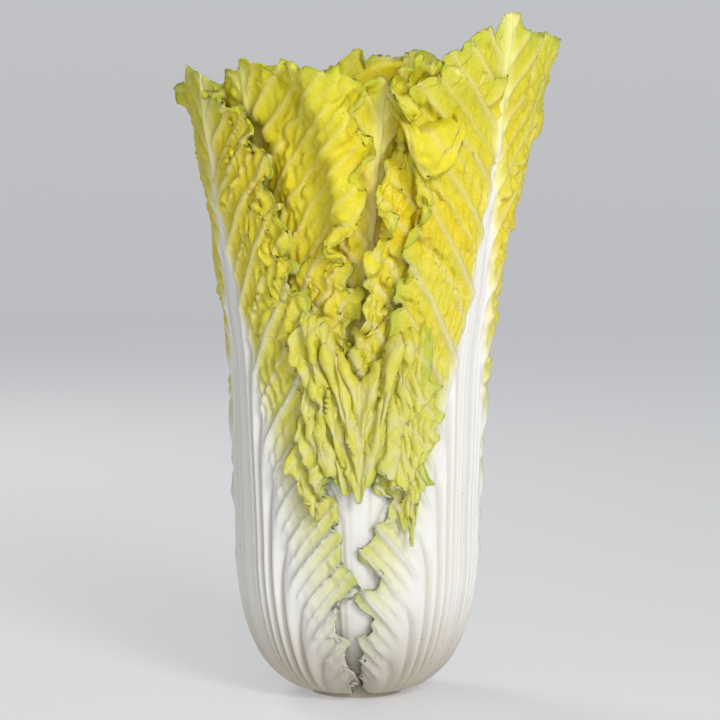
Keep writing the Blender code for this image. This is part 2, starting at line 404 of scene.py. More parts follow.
def stalk_share(leaf, run, turn):
    """Which rib passes each point, how far past its leaving point, and the distance sideways."""
    middle = np.radians(line(leaf["midrib"], height_at(run)))
    radius, half = radius_at(run), math.radians(leaf["stalk_half"])
    sideways = (turn - middle) * radius
    table_run, table_share = np.linspace(0.0, 0.42, 220), np.linspace(0.0, 3.2, 320)
    rib = np.linspace(-1.8, 1.6, 700)
    leaves_at = leaving_run(leaf, rib) - 0.05 * np.maximum(rib - 1.0, 0.0)
    slope = 0.55 + 0.65 * np.clip(rib, 0.0, 1.0) + 0.30 * (1.0 - ease(rib / 0.15))
    bend = 0.0025 + 0.0055 * ease(rib / 0.25)
    table = np.empty((220, 320))
    for k, at in enumerate(table_run):
        past = at - leaves_at
        swing = slope * 0.5 * (past + np.hypot(past, bend)) / (radius_at(at) * half)
        table[k] = np.interp(table_share, np.maximum(rib, 0.0) + swing, rib)
    row = np.clip(run / 0.42 * 219, 0, 218.999)
    column = np.clip(np.abs(sideways) / (radius * half) / 3.2 * 319, 0, 318.999)
    r, c = row.astype(int), column.astype(int)
    f, g = row - r, column - c
    share = (table[r, c] * (1 - g) + table[r, c + 1] * g) * (1 - f)
    share += (table[r + 1, c] * (1 - g) + table[r + 1, c + 1] * g) * f
    return share, run - leaving_run(leaf, share), sideways


def growth(leaf, u, run, turn):
    """How much larger the sheet has grown, across and along, than the place it has to fit in."""
    _, past, _ = stalk_share(leaf, run, turn)
    middle = turn[:, u.shape[1] // 2:u.shape[1] // 2 + 1]
    half_width = np.where(u < 0, middle - turn[:, :1], turn[:, -1:] - middle) * radius_at(run)
    margin = np.exp(-np.minimum((1.0 - np.abs(u)) * half_width, run[-1:] - run) / 0.014)
    blade, up = ease(past / 0.03), ease((height_at(run) - 0.07) / 0.13)
    patch = 0.5 + 0.5 * soft_noise(run, turn * 0.07, 0.03, leaf["seed"] + 5)
    edge = leaf["ruffle"] * margin * up + 0.08 * margin
    across = 1.0 + blade * (up * leaf["growth"] * (0.6 + 0.8 * patch) + edge)
    along = 1.0 + blade * (up * 0.40 * leaf["growth"] * (1.4 - 0.8 * patch) + edge)
    return across, along


STALK_ROOM, TIP_ROOM = 0.0003, 0.004
FLAP_GAP = 0.0012
SMOOTHING = 0.45            # takes the pinched corners out of a settled sheet


def laid_leaf(leaf):
    """Lays one leaf under those already there, folds and crumples it, and marks the room that it takes."""
    global under, over
    ceiling = blurred(near_cells(under, 2, 4, np.minimum), 1, 2, 2)
    soft_ceiling = blurred(near_cells(under, 1, 1, np.minimum), 1, 1, 1)
    ceiling = ceiling + leaf.get("flush", 0.0) * (soft_ceiling - ceiling)
    cover = near_cells(over, 1, 1, np.maximum)

    def room(run):
        height = height_at(run)
        blade_room = leaf["room"] * ease((height - 0.06) / 0.14)
        return (STALK_ROOM + blade_room + TIP_ROOM * ease((height - 0.25) / 0.06)) / radius_at(run)

    def high(wrapped, flap):
        run, turn = wrapped[..., 0], wrapped[..., 1]
        top, height = read_raster(soft_ceiling, run, turn), height_at(run)
        swell = leaf.get("swell", 0.002) * ease((top - 0.965) / 0.03) * ease((height - 0.08) / 0.12)
        pucker = 0.35 * room(run) * (0.5 + 0.5 * soft_noise(turn * 0.075, run * 0.7, 0.013, leaf["seed"] + 9))
        proud = np.maximum(read_raster(cover, run, turn), top) + leaf.get("proud", 0.006) / radius_at(run)
        return np.where(flap > 0.6, proud, top + (swell - LEAF_GAP) / radius_at(run) - pucker)

    def low(wrapped, flap):
        run, turn = wrapped[..., 0], wrapped[..., 1]
        top = read_raster(ceiling, run, turn)
        top = top + free * np.maximum(read_raster(soft_ceiling, run, turn) - top, 0.0)
        floor = np.maximum(top - LEAF_GAP / radius_at(run) - room(run), 0.10)
        hung = np.maximum(read_raster(cover, run, turn), read_raster(soft_ceiling, run, turn))
        return np.where(flap > 1.7, hung + FLAP_GAP / radius_at(run), floor)

    columns, rows = leaf["grid"]
    wrapped = None
    for level, steps in enumerate(leaf["steps"]):
        u, v, run, turn = leaf_outline(leaf, columns, rows)
        layer = np.maximum(read_raster(ceiling, run, turn) - LEAF_GAP / radius_at(run), 0.12)
        base = np.stack([run, turn, layer], axis=-1)
        flat = unwrapped(base)
        across, along = growth(leaf, u, run, turn)
        _, past, _ = stalk_share(leaf, run, turn)
        free = np.maximum(ease((past + 0.004) / 0.035), ease((run - leaf["stalk_run"]) / 0.03))
        free = free * ease((run - 0.03) / 0.06)
        lengths = []
        for step, _ in NET:
            grown = across if step[0] == 0 else along if step[1] == 0 else 0.5 * (across + along)
            (first, second), (g_first, g_second) = pair(flat, step), pair(grown, step)
            lengths.append(np.sqrt(((second - first) ** 2).sum(axis=-1)) * 0.5 * (g_first + g_second))
        folded, turned = fold_sheet(leaf, base, u, run, turn)
        if wrapped is None:
            wrapped = folded
            waves = soft_noise(turn * 0.075, run * 0.6, 0.012, leaf["seed"])
            waves += 0.5 * soft_noise(turn * 0.075, run, 0.007, leaf["seed"] + 1)
            wrapped[..., 2] -= free * (0.5 + 0.5 * waves) * room(run) * 0.8
        else:
            wrapped = refined(wrapped)
            waves = soft_noise(turn * 0.075, run, 0.006 / level, leaf["seed"] + 20 + level)
            wrapped[..., 2] += free * waves * 0.0003 / radius_at(run)
            points = unwrapped(wrapped)
            for k, (step, _) in enumerate(NET):
                first, second = pair(points, step)
                now = np.sqrt(((second - first) ** 2).sum(axis=-1))
                lengths[k] = SETTLED * now + (1.0 - SETTLED) * lengths[k]
        wrapped = relaxed(wrapped, lengths, folded, free, low, high, turned, steps)
        if level < len(leaf["steps"]) - 1:
            columns, rows = 2 * columns - 1, 2 * rows - 1
    for _ in range(2):
        around = wrapped[:-2, 1:-1] + wrapped[2:, 1:-1] + wrapped[1:-1, :-2] + wrapped[1:-1, 2:]
        away = 0.25 * around - wrapped[1:-1, 1:-1]
        wrapped[1:-1, 1:-1] += SMOOTHING * free[1:-1, 1:-1, None] * away
    thick = leaf_thickness(leaf, u, v)
    inner = wrapped.copy()
    inner[..., 2] -= thick / radius_at(wrapped[..., 0])
    fresh = under.copy()
    stamp(fresh, inner, turned < 0.5, np.minimum)
    holes = near_cells(fresh, 1, 1, np.minimum)
    under = np.where(fresh < under, fresh, np.minimum(under, holes))
    stamp(over, wrapped, turned > -1, np.maximum)
    over = near_cells(over, 1, 1, np.maximum)
    return {"u": u, "run": run, "turn": turn, "wrapped": wrapped, "thick": thick}


# ---- Ribs, veins and blisters ----
# The stalk is a row of rounded ribs. One after another they leave it, outermost first, and run out
# through the wings as veins, with a net of small veins between them and the blade puffed up in
# every mesh of the net.

def spacing(field, points):
    """Metres for each unit of a field that runs over the sheet."""
    down, right = np.gradient(points, axis=0), np.gradient(points, axis=1)
    f_down, f_right = np.gradient(field, axis=0), np.gradient(field, axis=1)
    e, f, g = (down * down).sum(-1), (down * right).sum(-1), (right * right).sum(-1)
    steep = g * f_down ** 2 - 2 * f * f_down * f_right + e * f_right ** 2
    return 1.0 / np.sqrt(np.maximum(steep / np.maximum(e * g - f * f, 1e-16), 1e-6))


RIBS, SIDE_VEINS = 11.0, 6.0            # across half a stalk, and to each VEIN_RUN of midrib above
GROOVE_WIDTH, RIDGE_WIDTH = 0.0012, 0.0008
VEIN_ROOT, VEIN_TIP = 0.0014, 0.0005    # half widths of a side vein
MIDRIB_ROOT, MIDRIB_TIP = 0.0016, 0.0009
LADDER_STEP = 0.0062                    # between the cross ridges where a rib becomes a vein
BLISTER, SMALL_BLISTER = 0.0105, 0.0052
TORN_RIM, GREEN_RIM = 0.003, 0.0032


def leaf_surface(leaf, sheet):
    """The relief and the colouring of a laid leaf, at every point of its grid."""
    u, run, turn, seed = sheet["u"], sheet["run"], sheet["turn"], leaf["seed"]
    share, past, sideways = stalk_share(leaf, run, turn)
    flat = unwrapped(np.stack([run, turn, np.ones(run.shape)], axis=-1))
    number = RIBS * np.clip(share, 0.0, 1.3) ** 0.62 + SIDE_VEINS * np.minimum(share, 0.0)
    wide = np.clip(spacing(number, flat), 0.0005, 0.05)
    lower = 1.0 - ease((height_at(run) - 0.07) / 0.12)
    in_stalk = 1.0 - ease((past + 0.002) / (0.004 + 0.010 * lower))
    in_stalk *= 1.0 - ease((run - leaf["stalk_run"]) / 0.03)
    blade = ease(past / (0.010 + 0.030 * lower))
    if "smooth_to" in leaf:
        above = ease((run - leaf["smooth_to"]) / 0.02)
        broad = 1.0 - ease((np.abs(sideways) - 0.014) / 0.008)
        in_stalk = np.maximum(in_stalk, broad * (1.0 - above))
        blade = np.maximum(blade, above)
    off = number - np.round(number)
    between = 2.0 * number - np.round(2.0 * number)
    fine = 4.0 * number - np.round(4.0 * number)
    strong = ease((wide - 0.0022) / 0.0026)
    dome = np.cos(2.0 * math.pi * off)
    groove = np.exp(-((0.5 - np.abs(off)) * wide / GROOVE_WIDTH) ** 2)
    rib = in_stalk * strong * (0.50 * dome - 0.7 * groove) * leaf.get("ribs", 1.0)
    rib *= ease((run - 0.004) / 0.03)
    length = np.maximum(past, 0.0)
    half_width = VEIN_ROOT * np.exp(-length / 0.06) + VEIN_TIP
    tapered = 1.0 - 0.55 * ease(length / 0.14)
    apart = wide / half_width
    vein = np.exp(-(off * apart) ** 2) * ease((apart - 3.0) / 3.0) * tapered
    small_vein = np.exp(-(between * apart / 1.4) ** 2) * ease((apart - 7.0) / 4.0) * tapered
    vein = np.maximum(vein, 0.65 * small_vein) * leaf.get("veins", 1.0)
    vein *= 1.0 - in_stalk
    above = np.maximum(run - leaf["stalk_run"], 0.0)
    middle_width = MIDRIB_TIP + MIDRIB_ROOT * np.exp(-above / 0.03)
    midrib = np.exp(-(sideways / middle_width) ** 2) * ease((run - leaf["stalk_run"]) / 0.02)
    vein = np.maximum(vein, midrib * leaf.get("veins", 1.0))
    herring = ease(past / 0.010) * (1.0 - ease((past - 0.045) / 0.05))
    ridge = herring * lower * np.exp(-(fine * wide * 0.25 / RIDGE_WIDTH) ** 2) * ease((wide - 0.008) / 0.006)
    warp = 0.004 * soft_noise(sideways, run, 0.012, seed + 60)
    ladder = np.cos(2.0 * math.pi * (past / LADDER_STEP + 120.0 * warp))
    ladder *= (0.5 + 0.5 * soft_noise(sideways, run, 0.02, seed + 64)) * herring * (1.0 - 0.6 * lower)
    warp_x = sideways + warp
    warp_y = run + 0.004 * soft_noise(sideways, run, 0.012, seed + 61) - 0.6 * np.abs(sideways)
    border, puff = cell_net(warp_x, warp_y, BLISTER, seed + 62)
    small_border, small_puff = cell_net(warp_x, warp_y, SMALL_BLISTER, seed + 63)
    net = np.maximum(0.75 * np.exp(-(border / 0.10) ** 2), 0.45 * np.exp(-(small_border / 0.13) ** 2))
    away = 1.0 - np.exp(-(off * wide / 0.0030) ** 2)
    pillow = ease(border / 0.55) * (0.55 + 0.75 * puff)
    pillow += 0.35 * ease(small_border / 0.5) * (0.3 + small_puff)
    half_across = 0.5 * np.abs(turn[:, -1:] - turn[:, :1]) * radius_at(run)
    rim = np.minimum((1.0 - np.abs(u)) * half_across, run[-1:] - run)
    swollen = blade * (pillow - 0.30) + 0.55 * ladder
    return {
        "rib": rib, "vein": vein + 0.8 * ridge,
        "blister": swollen * away * (1.0 - 0.7 * np.exp(-rim / TORN_RIM)),
        # the groove field also masks the painted shade in the stalk's rib grooves
        "white": in_stalk, "groove": groove * strong * in_stalk, "blade": blade,
        "line": np.maximum(vein, 0.65 * ridge), "net": net * blade, "rim": np.exp(-rim / GREEN_RIM),
        "sideways": sideways, "height": run,
    }


# ---- Nodes ----
# The relief and the finishes are node trees, written as arithmetic on their sockets.

class Shade:
    """A socket with arithmetic."""

    def __init__(self, tree, socket):
        self.tree, self.socket = tree, socket

    def node(self, kind, settings=None, **sockets):
        made = self.tree.nodes.new(kind)
        for name, value in (settings or {}).items():
            if name == "stops":
                ramp = made.color_ramp
                while len(ramp.elements) < len(value):
                    ramp.elements.new(0.5)
                for element, (at, color) in zip(ramp.elements, value):
                    element.position, element.color = at, color
            else:
                setattr(made, name, value)
        for name, value in sockets.items():
            numbered = name[0] == "i" and name[1:].isdigit()
            spot = made.inputs[int(name[1:]) if numbered else name.replace("_", " ")]
            if isinstance(value, Shade):
                self.tree.links.new(value.socket, spot)
            else:
                spot.default_value = value
        return made

    def made(self, kind, output, settings=None, **sockets):
        """One output of a new node."""
        return Shade(self.tree, self.node(kind, settings, **sockets).outputs[output])

    def math(self, operation, *values):
        sockets = {f"i{k}": value for k, value in enumerate(values)}
        return self.made("ShaderNodeMath", 0, {"operation": operation}, **sockets)

    def __add__(self, other):
        return self.math("ADD", self, other)

    def __sub__(self, other):
        return self.math("SUBTRACT", self, other)

    def __rsub__(self, other):
        return self.math("SUBTRACT", other, self)

    def __mul__(self, other):
        return self.math("MULTIPLY", self, other)

    __radd__, __rmul__ = __add__, __mul__

    def span(self, low, high):
        """0 at low and 1 at high, eased."""
        settings = {"interpolation_type": "SMOOTHSTEP"}
        return self.made("ShaderNodeMapRange", "Result", settings, Value=self, From_Min=low, From_Max=high)


# ---- The shell of a leaf ----
# A leaf is a thin closed shell, thick in the stalk and paper-thin at its margins. Its ribs, veins
# and blisters stand proud of the outer face, and the blade shows them from within as hollows.

# What each field of the outer face is multiplied by on the inner one. The first three are relief.
INNER_FACE = {"rib": 0.0, "vein": -1.0, "blister": -1.0, "white": 1.0, "groove": 1.0, "blade": 1.0,
              "line": 1.0, "net": 1.0, "rim": 1.0}


def leaf_mesh(leaf, sheet, surface):
    """A closed shell: the outer face, the inner face one leaf's thickness in, and the rim between them."""
    points = unwrapped(sheet["wrapped"])
    normal = np.cross(np.gradient(points, axis=1), np.gradient(points, axis=0))
    normal = normal / (np.sqrt((normal ** 2).sum(-1)) + 1e-12)[..., None]
    inner = points - normal * sheet["thick"][..., None]
    rows, columns = sheet["u"].shape
    index = np.arange(rows * columns).reshape(rows, columns)
    a, b, c, d = (part.ravel() for part in (index[:-1, :-1], index[:-1, 1:], index[1:, 1:], index[1:, :-1]))
    shift = rows * columns
    rim = np.concatenate([index[0], index[1:, -1], index[-1, -2::-1], index[-2:0:-1, 0]])
    after = np.roll(rim, -1)
    faces = np.concatenate([np.stack([a, b, c, d], 1), np.stack([a, d, c, b], 1) + shift,
                            np.stack([rim, rim + shift, after + shift, after], 1)])
    mesh = bpy.data.meshes.new(leaf["name"])
    mesh.vertices.add(2 * shift)
    both_faces = np.concatenate([points.reshape(-1, 3), inner.reshape(-1, 3)])
    mesh.vertices.foreach_set("co", both_faces.astype(np.float32).ravel())
    mesh.loops.add(faces.size)
    mesh.loops.foreach_set("vertex_index", faces.astype(np.int32).ravel())
    mesh.polygons.add(len(faces))
    mesh.polygons.foreach_set("loop_start", np.arange(0, faces.size, 4, dtype=np.int32))
    mesh.update(calc_edges=True)
    mesh.shade_smooth()
    for name, inside in INNER_FACE.items():
        value = surface[name].ravel()
        value = np.concatenate([value, inside * value]).astype(np.float32)
        mesh.attributes.new(name, "FLOAT", "POINT").data.foreach_set("value", value)
    layout = np.stack([surface["sideways"], surface["height"]], axis=-1).reshape(-1, 2) * 10.0
    layout = np.concatenate([layout, layout])[faces.ravel()]
    mesh.uv_layers.new(name="along_leaf").data.foreach_set("uv", layout.astype(np.float32).ravel())
    return mesh


RELIEF_HEIGHTS = {"rib": 0.0021, "vein": 0.0019, "blister": 0.0023}


def relief_tree():
    """Raises the ribs, veins and blisters of a leaf along its surface and gives it its finish."""
    tree = bpy.data.node_groups.new("leaf_relief", "GeometryNodeTree")
    tree.interface.new_socket("Leaf", in_out="INPUT", socket_type="NodeSocketGeometry")
    for name, height in RELIEF_HEIGHTS.items():
        socket = tree.interface.new_socket(name, in_out="INPUT", socket_type="NodeSocketFloat")
        socket.default_value = height
    tree.interface.new_socket("Finish", in_out="INPUT", socket_type="NodeSocketMaterial")
    tree.interface.new_socket("Leaf", in_out="OUTPUT", socket_type="NodeSocketGeometry")
    start = Shade(tree, None)
    given = {socket.name: Shade(tree, socket) for socket in start.node("NodeGroupInput").outputs}

    def raised(name):
        settings = {"data_type": "FLOAT"}
        return start.made("GeometryNodeInputNamedAttribute", "Attribute", settings, Name=name) * given[name]

    relief = raised("rib") + raised("vein") + raised("blister")
    normal = start.made("GeometryNodeInputNormal", "Normal")
    offset = start.made("ShaderNodeVectorMath", 0, {"operation": "SCALE"}, i0=normal, Scale=relief)
    leaf = start.made("GeometryNodeSetPosition", 0, Geometry=given["Leaf"], Offset=offset)
    leaf = start.made("GeometryNodeRealizeInstances", 0, Geometry=leaf)
    leaf = start.made("GeometryNodeSetMaterial", 0, Geometry=leaf, Material=given["Finish"])
    start.node("NodeGroupOutput", Leaf=leaf)
    return tree


RELIEF = relief_tree()
RELIEF_SOCKET = {item.name: item.identifier for item in RELIEF.interface.items_tree if item.in_out == "INPUT"}


def raised_leaf(leaf, mesh, finish):
    """The finished leaf: its shell with the relief raised, as a plain mesh."""
    shell = in_scene(leaf["name"] + "_shell", mesh)
    modifier = shell.modifiers.new("relief", "NODES")
    modifier.node_group = RELIEF
    for name, height in RELIEF_HEIGHTS.items():
        modifier[RELIEF_SOCKET[name]] = height
    modifier[RELIEF_SOCKET["Finish"]] = finish
    bpy.context.view_layer.update()
    done = bpy.data.meshes.new_from_object(shell.evaluated_get(bpy.context.evaluated_depsgraph_get()))
    shell.modifiers.clear()
    bpy.data.objects.remove(shell)
    done.name = leaf["name"]
    for name in RELIEF_HEIGHTS:
        done.attributes.remove(done.attributes[name])
    return in_scene(leaf["name"] + "_leaf", done)


# ---- The finishes of leaf and stem ----
# Moist, slightly waxy plant skin: a white stalk that yellows into a young wing and a bright blade,
# with cream veins, a green rim, painted shade in the stalk's grooves, a foot darkened partly by tan
# and partly by painted shade, and a few dark specks.

def mixed(share, first, second):
    """A colour between two colours; share and either colour may be a Shade or plain."""
    settings = {"data_type": "RGBA", "clamp_factor": True}
    return share.made("ShaderNodeMix", 2, settings, i0=share, i6=first, i7=second)


PALE_WING = (0.82, 0.79, 0.33, 1.0)
# painted shade for the rib grooves, standing in for the shade that falls in them; also the tan of the faint
# streaks
GROOVE_SHADE_AND_STREAK = (0.55, 0.50, 0.40, 1.0)
# the darker foot: partly the tan of the cut base, partly painted shade at the bottom of the head
FOOT_TAN_AND_SHADE = (0.42, 0.36, 0.27, 1.0)
SPECK = (0.10, 0.085, 0.05, 1.0)


def leaf_finish(name, stalk, young, blade, deep, vein, green, glowing=0.22):
    """Moist leaf: white stalk, pale young wing, yellow blade, cream veins and a green rim."""
    material = bpy.data.materials.new(name)
    material.use_nodes = True
    tree = material.node_tree
    tree.nodes.clear()
    start = Shade(tree, None)

    def attribute(label):
        return start.made("ShaderNodeAttribute", "Fac", {"attribute_name": label})

    def noise(where, scale, detail=3.0, rough=0.5):
        settings = {"Scale": scale, "Detail": detail, "Roughness": rough}
        return start.made("ShaderNodeTexNoise", "Fac", Vector=where, **settings)

    sheet_place = start.made("ShaderNodeUVMap", "UV", {"uv_map": "along_leaf"})
    space = start.made("ShaderNodeTexCoord", "Object")
    height = start.made("ShaderNodeSeparateXYZ", "Z", i0=space)
    white, wing, veins = attribute("white"), attribute("blade"), attribute("line")
    net, rim, groove = attribute("net"), attribute("rim"), attribute("groove")
    patch, mottle, grain = noise(space, 28.0), noise(sheet_place, 9.0, 4.0), noise(space, 900.0, 2.0)

    # the blade: paler and whiter lower down, deeper yellow in patches, greener in spots and at its rim
    up = height.span(0.12, 0.26)
    young_blade = mixed(height.span(0.03, 0.11), PALE_WING, mixed(up, young, blade))
    tissue = mixed((patch - 0.42).span(0.0, 0.25) * up, young_blade, deep)
    vein = mixed(height.span(0.12, 0.27), stalk, vein)
    tissue = mixed(wing, vein, tissue)
    tissue = mixed((mottle - 0.5).span(0.0, 0.3) * wing * 0.14, tissue, green)
    tissue = mixed(net * (0.34 - 0.16 * up), tissue, vein)
    tissue = mixed(rim * (patch - 0.36).span(0.0, 0.22) * 0.85 * wing, tissue, green)
    tissue = mixed(height.span(0.262, 0.320) * 0.32, tissue, green)
    tissue = mixed(veins * (0.85 - 0.15 * up), tissue, vein)

    # the stalk: painted shade in its grooves, a foot darkened partly by tan and partly by painted shade, and
    # faint tan streaks along its ribs
    color = mixed(white, tissue, stalk)
    # painted shade: the colour of the rib grooves darkened where shade falls between the ribs
    color = mixed(groove * 0.60, color, GROOVE_SHADE_AND_STREAK)
    # the bottom darkened: partly the tan of the cut base, partly painted shade where little light reaches
    foot = 1.0 - height.span(0.000, 0.060)
    color = mixed(foot * 0.84, color, FOOT_TAN_AND_SHADE)
    streak = noise(start.made("ShaderNodeMapping", 0, i0=sheet_place, Scale=(22.0, 1.2, 1.0)), 6.0, 3.0)
    color = mixed((streak - 0.5).span(0.0, 0.35) * white * 0.22, color, GROOVE_SHADE_AND_STREAK)

    # dark specks everywhere, and the finest net of veins on the blade
    dots = start.node("ShaderNodeTexVoronoi", {"feature": "F1"}, Vector=space, Scale=210.0)
    speck = 1.0 - Shade(tree, dots.outputs["Distance"]).span(0.05, 0.12)
    speck = speck * Shade(tree, dots.outputs["Color"]).span(0.80, 0.82)
    color = mixed(speck * 0.55, color, SPECK)
    settings = {"feature": "DISTANCE_TO_EDGE"}
    away = start.made("ShaderNodeTexVoronoi", "Distance", settings, Vector=sheet_place, Scale=30.0)
    fine_net = (1.0 - away.span(0.0, 0.12)) * wing
    color = mixed(fine_net * 0.06, color, vein)

    relief = fine_net * 0.35 + mottle * 0.5 * wing + grain * 0.12 + streak * 0.25 * white
    bump = start.made("ShaderNodeBump", "Normal", Strength=0.5, Distance=0.0008, Height=relief)
    skin = start.node("ShaderNodeBsdfPrincipled", Base_Color=color, Roughness=0.36 + mottle * 0.16,
                      Normal=bump)
    skin.inputs["IOR"].default_value = 1.40
    skin.inputs["Subsurface Weight"].default_value = 0.12
    skin.inputs["Subsurface Radius"].default_value = (1.0, 0.8, 0.4)
    skin.inputs["Subsurface Scale"].default_value = 0.003
    glow = start.made("ShaderNodeBsdfTranslucent", 0, Color=blade)
    both = start.made("ShaderNodeMixShader", 0, i0=wing * glowing, i1=Shade(tree, skin.outputs[0]), i2=glow)
    start.node("ShaderNodeOutputMaterial", Surface=both)
    return material


# ---- The outer leaves ----
# Six tough leaves with thick white stalks, sprung from the foot of the stem. Two meet at the front,
# one closes the back, two lie under them at the sides, and the sixth, smooth-stalked, folds its
# blade over outwards in the front opening. One piece each, in place of the plain solid of its name.

LARGE, LARGE_STEPS = (33, 56), (260, 160, 30)
FINE = (40, 69)
SMALL, SMALL_STEPS = (17, 28), (160, 120, 30)


def plain_leaf(name, azimuth, stalk, blade, tip, thick, seed, **extra):
    """A leaf that wraps evenly round the head."""
    rng = np.random.default_rng(seed)
    wander = rng.uniform(-5.0, 5.0, 6)
    levels = (0.0, 0.08, 0.2, 0.35)
    halves = (stalk, stalk - 4.0, blade, blade)
    fall = rng.uniform(0.86, 0.92)
    torn = [(0.0, 0.001), (0.2, 0.003), (0.35, 0.004)]
    leaf = {
        "name": name, "seed": seed, "stalk": thick, "stalk_half": stalk, "stalk_run": 0.22,
        "midrib": [(0.0, azimuth), (0.2, azimuth + wander[4]), (0.35, azimuth + 1.5 * wander[5])],
        "left": [(z, azimuth - h + w) for z, h, w in zip(levels, halves, (0, 0, wander[0], wander[1]))],
        "right": [(z, azimuth + h + w) for z, h, w in zip(levels, halves, (0, 0, wander[2], wander[3]))],
        "top": [(-1, tip * fall), (-0.6, tip * 0.97), (-0.2, tip * 0.99), (0, tip), (0.25, tip * 0.985),
                (0.65, tip * 0.97), (1, tip * (1.78 - fall))],
        "top_torn": 0.005, "left_torn": torn, "right_torn": torn,
        "growth": 0.22, "ruffle": 0.30, "room": 0.0050, "folds": [], "grid": SMALL, "steps": SMALL_STEPS,
    }
    leaf.update(extra)
    return leaf


def set_leaf(leaf, finish):
    """Lays, raises and hands over one leaf."""
    leaf = {"grid": LARGE, "steps": LARGE_STEPS, **leaf}
    sheet = laid_leaf(leaf)
    surface = leaf_surface(leaf, sheet)
    piece = raised_leaf(leaf, leaf_mesh(leaf, sheet, surface), finish)
    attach(piece, "root")
    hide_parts(leaf["name"])


torn_wing = [(0.0, 0.0015), (0.02, 0.005), (0.09, 0.006), (0.13, 0.004), (0.3, 0.003)]
torn_side = [(0.0, 0.001), (0.2, 0.003), (0.3, 0.004)]
torn_flap = [(0.0, 0.001), (0.2, 0.003), (0.23, 0.006), (0.3, 0.006)]
wrapping = {"grid": LARGE, "steps": LARGE_STEPS, "stalk_run": 0.28, "room": 0.0060, "growth": 0.22,
            "swell": 0.003}
outer_left = {
    "name": "outer_leaf_left", "seed": 11,
    "stalk": 0.0082, "stalk_half": 57, "stalk_run": 0.27,
    "midrib": [(0.0, -63), (0.15, -66), (0.2, -68), (0.25, -68), (0.3, -62), (0.32, -60)],
    "left": [(0.0, -119), (0.08, -117), (0.2, -128), (0.32, -122)],
    "right": [(0.0, -4), (0.02, -5), (0.06, -6), (0.09, -8), (0.12, -12), (0.165, -20), (0.2, -25),
              (0.25, -33), (0.3, -38)],
    "top": [(-1, 0.275), (-0.6, 0.298), (-0.2, 0.306), (0.05, 0.304), (0.35, 0.300), (0.7, 0.298),
            (1, 0.272)],
    "top_torn": 0.004, "right_torn": torn_wing, "left_torn": torn_side,
    "growth": 0.23, "ruffle": 0.30, "room": 0.0058, "swell": 0.001,
    "folds": [("tip", -0.75, -0.35, 0.012, 45, 0.006), ("tip", 0.35, 0.8, 0.012, 50, 0.006)],
    "grid": FINE,
}
outer_right = {
    "name": "outer_leaf_right", "seed": 23,
    "stalk": 0.0082, "stalk_half": 57, "stalk_run": 0.28,
    "midrib": [(0.0, 62), (0.15, 61), (0.2, 63), (0.25, 56), (0.3, 48), (0.345, 43)],
    "left": [(0.0, 4), (0.02, 4), (0.06, 5), (0.09, 8), (0.12, 13), (0.15, 17), (0.19, 18), (0.23, 15),
             (0.26, 12), (0.30, 13), (0.32, 22), (0.345, 24)],
    "right": [(0.0, 118), (0.1, 118), (0.18, 106), (0.24, 100), (0.3, 106), (0.345, 104)],
    "top": [(-1, 0.296), (-0.8, 0.318), (-0.45, 0.328), (-0.25, 0.328), (-0.12, 0.337), (0.05, 0.337),
            (0.16, 0.328), (0.45, 0.326), (0.8, 0.316), (1, 0.285)],
    "top_torn": 0.002, "left_torn": torn_wing, "right_torn": torn_side,
    "growth": 0.20, "ruffle": 0.20, "room": 0.0058, "swell": 0.003,
    "folds": [("left", 0.240, 0.284, 0.015, 165, 0.004)],
    "grid": FINE,
}
front = {
    "name": "front_leaf", "seed": 41,
    "stalk": 0.0072, "stalk_half": 48, "stalk_run": 0.150,
    "ribs": 0.12, "veins": 0.40, "smooth_to": 0.134, "flush": 0.75,
    "midrib": [(0.0, 2), (0.15, 1), (0.3, 1)],
    "left": [(0.0, -46), (0.11, -42), (0.145, -29), (0.20, -26), (0.24, -27), (0.30, -24)],
    "right": [(0.0, 50), (0.11, 44), (0.145, 34), (0.20, 30), (0.24, 31), (0.30, 28)],
    "top": [(-1, 0.286), (-0.75, 0.292), (-0.5, 0.256), (-0.3, 0.230), (0, 0.214), (0.3, 0.226),
            (0.5, 0.254), (0.8, 0.286), (1, 0.272)],
    "top_torn": 0.006, "left_torn": torn_flap, "right_torn": torn_flap,
    "growth": 0.10, "ruffle": 0.24, "room": 0.0050, "proud": 0.0080,
    "folds": [("over", 0, 0, [(-1, 0.190), (-0.6, 0.185), (-0.2, 0.165), (0, 0.157), (0.2, 0.164),
                              (0.5, 0.181), (1, 0.186)], 176, 0.0040)],
    "grid": FINE,
}
outer_finish = leaf_finish(
    "outer_leaf", stalk=(0.84, 0.83, 0.80, 1.0), young=(0.84, 0.81, 0.10, 1.0),
    blade=(0.90, 0.78, 0.025, 1.0), deep=(0.93, 0.73, 0.006, 1.0), vein=(0.88, 0.81, 0.31, 1.0),
    green=(0.40, 0.57, 0.07, 1.0))
for leaf in (
    outer_left, outer_right, plain_leaf("outer_leaf_back", 178, 69, 75, 0.312, 0.0080, 31, **wrapping),
    front, plain_leaf("side_leaf_right", 112, 56, 64, 0.300, 0.0072, 53, **wrapping),
    plain_leaf("side_leaf_left", -112, 56, 66, 0.304, 0.0070, 61, **wrapping),
):
    set_leaf(leaf, outer_finish)

# ---- The middle leaves ----
# Six softer leaves with cream stalks and bright yellow blades. Their crumpled tips stand above the
# outer leaves, and their margins turn over in flaps in the front opening.

